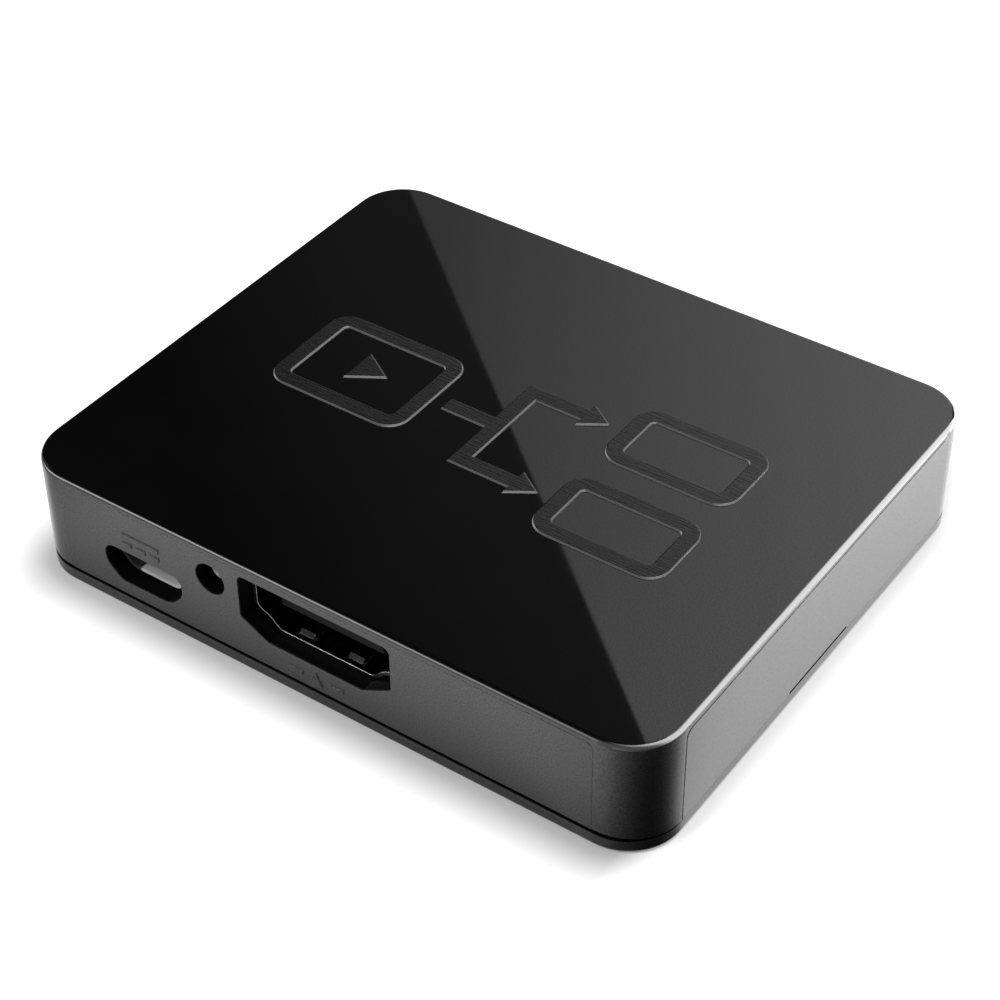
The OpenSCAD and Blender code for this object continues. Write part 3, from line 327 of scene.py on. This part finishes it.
def make_materials():
    gold_dark, gold_light = (0.2, 0.14, 0.06, 1), (0.32, 0.22, 0.1, 1)
    return {
        "case": case_plastic("case_plastic", 0.02, 0.3, 0.12),
        "base": case_plastic("base_plastic", 0.3, 0.34, 0.08),
        "shell": metal("socket_metal", grey(0.42), grey(0.6), 0.16, (3.0, 0.5, 3.0), 0.002,
                       painted_shade=shade_behind_mouth),
        "power_shell": metal("tin_plate", grey(0.5), grey(0.62), 0.5, (3.0, 0.5, 3.0), 0.004, 0.15,
                             shaded_left, 0.1),
        "screw": metal("zinc_steel", grey(0.4), (0.6, 0.6, 0.56, 1), 0.34, (4.0, 4.0, 1.0), 0.004),
        "wire": metal("tinned_wire", grey(0.5), grey(0.72), 0.32, (2.0, 2.0, 2.0), 0.003),
        "can": metal("can_metal", grey(0.55), grey(0.76), 0.28, (6.0, 6.0, 0.6), 0.004),
        "gold": metal("contact_gold", gold_dark, gold_light, 0.4, (5.0, 0.6, 5.0), 0.002),
        "insulator": resin("socket_plastic", grey(0.006), grey(0.011), 0.42, 6.0, 0.004, 0.08),
        "chip": resin("chip_resin", grey(0.012), grey(0.026), 0.55, 9.0, 0.006),
        "ferrite": resin("ferrite", (0.02, 0.019, 0.018, 1), (0.045, 0.042, 0.04, 1), 0.6, 5.0, 0.012),
        "ceramic": resin("ceramic", (0.36, 0.25, 0.16, 1), (0.5, 0.37, 0.25, 1), 0.5, 6.0, 0.004),
        "resistor": resin("resistor_glaze", grey(0.01), grey(0.022), 0.35, 4.0, 0.003),
        "lens": lens("clear_lens"),
        "board": laminate("board_laminate"),
    }


FINISH = {
    "top_cover": "case", "bottom_cover": "base", "circuit_board": "board", "board_screws": "screw",
    "video_in_shell": "shell", "video_out_a_shell": "shell", "video_out_b_shell": "shell",
    "power_socket_shell": "power_shell", "power_socket_insulator": "insulator",
    "video_in_insulator": "insulator", "video_out_a_insulator": "insulator",
    "video_out_b_insulator": "insulator",
    "video_in_contacts": "gold", "video_out_a_contacts": "gold", "video_out_b_contacts": "gold",
    "power_socket_contacts": "gold", "status_led": "lens", "led_leads": "wire",
    "splitter_chip": "chip", "splitter_chip_leads": "wire", "memory_chip": "chip",
    "memory_chip_leads": "wire", "regulator": "chip", "regulator_leads": "wire",
    "converter_chip": "chip", "converter_leads": "wire", "power_inductor": "ferrite",
    "inductor_ends": "wire", "crystal_can": "can", "crystal_base": "can", "crystal_leads": "wire",
    "bulk_capacitor_cans": "can", "bulk_capacitor_bases": "insulator", "surge_arrays": "chip",
    "ceramic_capacitors": "ceramic", "chip_resistors": "resistor", "chip_terminals": "wire",
}


def dress(materials):
    for node, finish in FINISH.items():
        slots = NODES[node].data.materials
        slots.clear()
        slots.append(materials[finish])


def camera_axes():
    """Camera's right, up and backward directions."""
    azimuth, elevation, roll = (math.radians(v) for v in (CAMERA_AZIMUTH, CAMERA_ELEVATION, CAMERA_ROLL))
    back = Vector((math.sin(azimuth) * math.cos(elevation), -math.cos(azimuth) * math.cos(elevation),
                   math.sin(elevation)))
    level = Vector((math.cos(azimuth), math.sin(azimuth), 0))
    plumb = back.cross(level)
    right = math.cos(roll) * level + math.sin(roll) * plumb
    up = -math.sin(roll) * level + math.cos(roll) * plumb
    return right, up, back


def camera_eye():
    right, up, back = camera_axes()
    return back * CAMERA_DISTANCE + right * CAMERA_OFFSET[0] + up * CAMERA_OFFSET[1]


def make_camera():
    right, up, back = camera_axes()
    data = bpy.data.cameras.new("camera")
    data.sensor_width = SENSOR
    data.lens = LENS
    data.clip_start = 0.01
    data.clip_end = 20
    made = bpy.data.objects.new("camera", data)
    bpy.context.scene.collection.objects.link(made)
    turn = Matrix((right, up, back)).transposed().to_4x4()
    made.matrix_world = Matrix.Translation(camera_eye() * MM) @ turn
    bpy.context.scene.camera = made


def soft_lamp(name, toward, distance, side, level):
    """Square lamp in a direction from the object, which it faces. Lengths in metres."""
    data = bpy.data.lights.new(name, "AREA")
    data.shape = "SQUARE"
    data.size = side
    out = Vector(toward).normalized()
    data.energy = level * (math.pi * distance) ** 2 / out.z
    made = bpy.data.objects.new(name, data)
    bpy.context.scene.collection.objects.link(made)
    aim = (-out).to_track_quat("-Z", "Y").to_matrix().to_4x4()
    made.matrix_world = Matrix.Translation(out * distance) @ aim
    made.visible_camera = False
    made.visible_glossy = False


def studio_mirror(sh, toward):
    """What gloss mirrors of the studio above the floor: a pale board, a dark flag and two soft boxes."""
    across, along, up = sh.parts(toward)
    eye = camera_eye()
    mirrored = Vector((eye.x, eye.y, 2 * ROOF_Z - eye.z))
    ends = [Vector((px, py, ROOF_Z)) - mirrored for px, py in TONE_LINE]
    normal = ends[0].cross(ends[1]).normalized()
    side = sh.vector("DOT_PRODUCT", toward, tuple(normal))
    dark = sh.span(side, 0.0005, -0.0005)
    heading = sh.vector("DOT_PRODUCT", toward, tuple(Vector((-0.62, 0.42, 0.66)).normalized()))
    flag = sh.math("MULTIPLY", dark, sh.span(heading, 0.35, 0.6, smooth=True))
    board = sh.span(across, -0.5, -0.29, 0.4, 1.5)
    flag_tone = sh.span(side, -0.14, 0.0, 0.0, 0.08, smooth=True)
    backdrop = sh.blend(flag, board, flag_tone)

    front_turn = sh.math("ARCTAN2", sh.math("MULTIPLY", along, -1.0), up)
    front_end = sh.math("MULTIPLY", sh.span(across, -0.36, -0.5, 0.35, 1.0), sh.span(across, -0.24, -0.36))
    front_box = sh.math("MULTIPLY", band(sh, front_turn, *FRONT_BAND), front_end)
    right_turn = sh.math("ARCTAN2", across, up)
    right_end = sh.span(along, -0.3, 0.35, smooth=True)
    right_box = sh.math("MULTIPLY", band(sh, right_turn, *RIGHT_BAND), right_end)
    return sh.blend(right_box, sh.blend(front_box, backdrop, FRONT_BOX_LEVEL), RIGHT_BOX_LEVEL)


def band(sh, turn, low, high, soft):
    """One between two angles, nought outside them. Angles in degrees, the turn in radians."""
    low, high, soft = (math.radians(v) for v in (low, high, soft))
    past_low = sh.span(turn, low - soft, low + soft)
    return sh.math("MULTIPLY", past_low, sh.span(turn, high + soft, high - soft))


def make_world():
    """White to the camera, dim for soft light, and the mirrored studio for gloss."""
    world = bpy.data.worlds.new("studio")
    world.use_nodes = True
    world.cycles.sampling_method = "NONE"
    bpy.context.scene.world = world
    sh = Shader(world.node_tree)
    rays = sh.node("ShaderNodeLightPath").outputs
    mirror = studio_mirror(sh, sh.node("ShaderNodeTexCoord").outputs["Generated"])
    soft = sh.blend(rays["Is Diffuse Ray"], 1.0, AMBIENT_LEVEL)
    strength = sh.blend(rays["Is Glossy Ray"], soft, mirror)
    light = sh.node("ShaderNodeBackground", {"Color": grey(1.0), "Strength": strength})
    sh.node("ShaderNodeOutputWorld", {"Surface": light.outputs[0]})


def mirrored_turn(sh, x, y):
    """Turn in degrees at which the front right corner mirrors a place on the floor."""
    to_right = sh.math("SUBTRACT", x, HALF_W - CORNER_R)
    to_front = sh.math("SUBTRACT", CORNER_R - HALF_D, y)
    angle = sh.math("MULTIPLY", sh.math("ARCTAN2", to_front, to_right), 180 / math.pi)
    squares = sh.math("ADD", sh.math("POWER", to_right, 2.0), sh.math("POWER", to_front, 2.0))
    reach = sh.math("MAXIMUM", sh.math("SQRT", squares), CORNER_R)
    spread = sh.math("SUBTRACT", 2.0, sh.math("DIVIDE", CORNER_R, reach))
    return sh.math("ADD", FACING_TURN, sh.math("DIVIDE", sh.math("SUBTRACT", angle, FACING_TURN), spread))


def floor_material():
    """White paper: lifted to white for the camera away from the object, as bright in gloss as its ring."""
    made, sh = new_material("floor_paper")
    rays = sh.node("ShaderNodeLightPath").outputs
    x, y, _ = sh.parts(sh.millimetres())
    turn = mirrored_turn(sh, x, y)
    first, last = FLOOR_RING[0][0], FLOOR_RING[-1][0]
    places = [((angle - first) / (last - first), value / RING_TOP) for angle, value in FLOOR_RING]
    ring = sh.stops(sh.span(turn, first, last), places)
    # Painted light and shade in gloss: the floor's glow grows far to the right and towards the back, and
    # falls in front near the wall and towards the left.
    far_right = sh.span(x, HALF_W + 11, HALF_W + 23, RING_TOP, RING_TOP * 5.6)
    near_front = sh.span(sh.math("MULTIPLY", y, -1.0), HALF_D + 1, HALF_D + 12, 0.62, 1.05)
    past_left = sh.span(x, -HALF_W - 12, -HALF_W + 2, 0.5, 1.0)
    fall = sh.blend(sh.span(y, -HALF_D, -HALF_D + 2), sh.math("MULTIPLY", near_front, past_left), 1.0)
    to_back = sh.span(y, -15.0, 35.0, 0.97, 1.12)
    glow = sh.math("MULTIPLY", sh.math("MULTIPLY", ring, far_right), sh.math("MULTIPLY", fall, to_back))
    albedo = sh.blend(rays["Is Glossy Ray"], PAPER, sh.math("MINIMUM", glow, PAPER))
    extra = sh.math("MAXIMUM", sh.math("SUBTRACT", glow, PAPER), 0.0)
    away = sh.span(outward(sh, x, y), 0.5, 8.0, 0.0, 0.6)
    # Painted light: to the camera the floor is lifted all along the right of the object, up to its wall,
    # which lightens the shadow there.
    lift_level = sh.math("ADD", away, sh.span(x, HALF_W - 3, HALF_W, 0.0, 0.42))
    lifted = sh.math("MULTIPLY", rays["Is Camera Ray"], lift_level)
    shine = sh.blend(rays["Is Glossy Ray"], lifted, extra)
    paper = sh.node("ShaderNodeBsdfDiffuse", {"Color": albedo})
    lift = sh.node("ShaderNodeEmission", {"Color": grey(1.0), "Strength": shine})
    both = sh.node("ShaderNodeAddShader", {0: paper.outputs[0], 1: lift.outputs[0]})
    clear = sh.node("ShaderNodeBsdfTransparent")
    below = sh.node("ShaderNodeNewGeometry").outputs["Backfacing"]
    near = sh.math("LESS_THAN", rays["Ray Length"], 0.4 * MM)
    unseen = sh.math("SUBTRACT", 1.0, rays["Is Camera Ray"])
    gone = sh.math("MAXIMUM", below, sh.math("MULTIPLY", near, unseen))
    mixed = sh.node("ShaderNodeMixShader", {0: gone, 1: both.outputs[0], 2: clear.outputs[0]})
    sh.node("ShaderNodeOutputMaterial", {"Surface": mixed.outputs[0]})
    return made


def make_floor():
    mesh = bpy.data.meshes.new("floor")
    square = ((-1, -1), (1, -1), (1, 1), (-1, 1))
    corners = [(px * FLOOR_HALF, py * FLOOR_HALF, FLOOR_DROP) for px, py in square]
    mesh.from_pydata(corners, [], [(0, 1, 2, 3)])
    mesh.materials.append(floor_material())
    made = bpy.data.objects.new("floor", mesh)
    bpy.context.scene.collection.objects.link(made)


def make_cloth():
    """Dark cloth that only gloss sees, and only from the roof or from below: it leans in from the right and
    front edges of the roof, and a level flap of it stands out from the right wall under the rim."""
    inset = RIM_R + 0.05
    foot = [(HALF_W - inset, CLOTH_REACH, 1.0, 0.0)]
    for angle in range(0, 91, 10):
        across, along = math.cos(math.radians(angle)), -math.sin(math.radians(angle))
        foot.append((HALF_W - CORNER_R + (CORNER_R - inset) * across,
                     CORNER_R - HALF_D + (CORNER_R - inset) * along, across, along))
    foot.append((-CLOTH_REACH, inset - HALF_D, 0.0, -1.0))
    shift = CLOTH_HEIGHT * math.tan(math.radians(CLOTH_LEAN))
    low = [(x * MM, y * MM, (ROOF_Z + 0.05) * MM) for x, y, across, along in foot]
    high = [((x - shift * across) * MM, (y - shift * along) * MM, (ROOF_Z + CLOTH_HEIGHT) * MM)
            for x, y, across, along in foot]
    near, far, under_rim = (HALF_W + 0.1) * MM, CLOTH_REACH * MM, (ROOF_Z - RIM_R - 0.05) * MM
    flap = [(px, py, under_rim) for px, py in ((near, -far), (near, far), (far, far), (far, -far))]
    count = len(foot)
    faces = [(i, i + 1, count + i + 1, count + i) for i in range(count - 1)]
    faces.append(tuple(range(2 * count, 2 * count + 4)))
    mesh = bpy.data.meshes.new("cloth")
    mesh.from_pydata(low + high + flap, [], faces)
    material, sh = new_material("dark_cloth")
    material.cycles.emission_sampling = "NONE"
    glow = sh.node("ShaderNodeEmission", {"Color": grey(1.0), "Strength": CLOTH_LEVEL})
    clear = sh.node("ShaderNodeBsdfTransparent")
    behind = sh.node("ShaderNodeNewGeometry").outputs["Backfacing"]
    mixed = sh.node("ShaderNodeMixShader", {0: behind, 1: glow.outputs[0], 2: clear.outputs[0]})
    sh.node("ShaderNodeOutputMaterial", {"Surface": mixed.outputs[0]})
    mesh.materials.append(material)
    made = bpy.data.objects.new("cloth", mesh)
    bpy.context.scene.collection.objects.link(made)
    made.visible_camera = made.visible_diffuse = made.visible_transmission = made.visible_shadow = False


def make_studio():
    make_world()
    make_floor()
    make_cloth()
    soft_lamp("key", *KEY_LAMP)
    soft_lamp("fill", *FILL_LAMP)


bpy.context.scene.view_settings.view_transform = "Standard"
make_camera()
make_studio()
dress(make_materials())
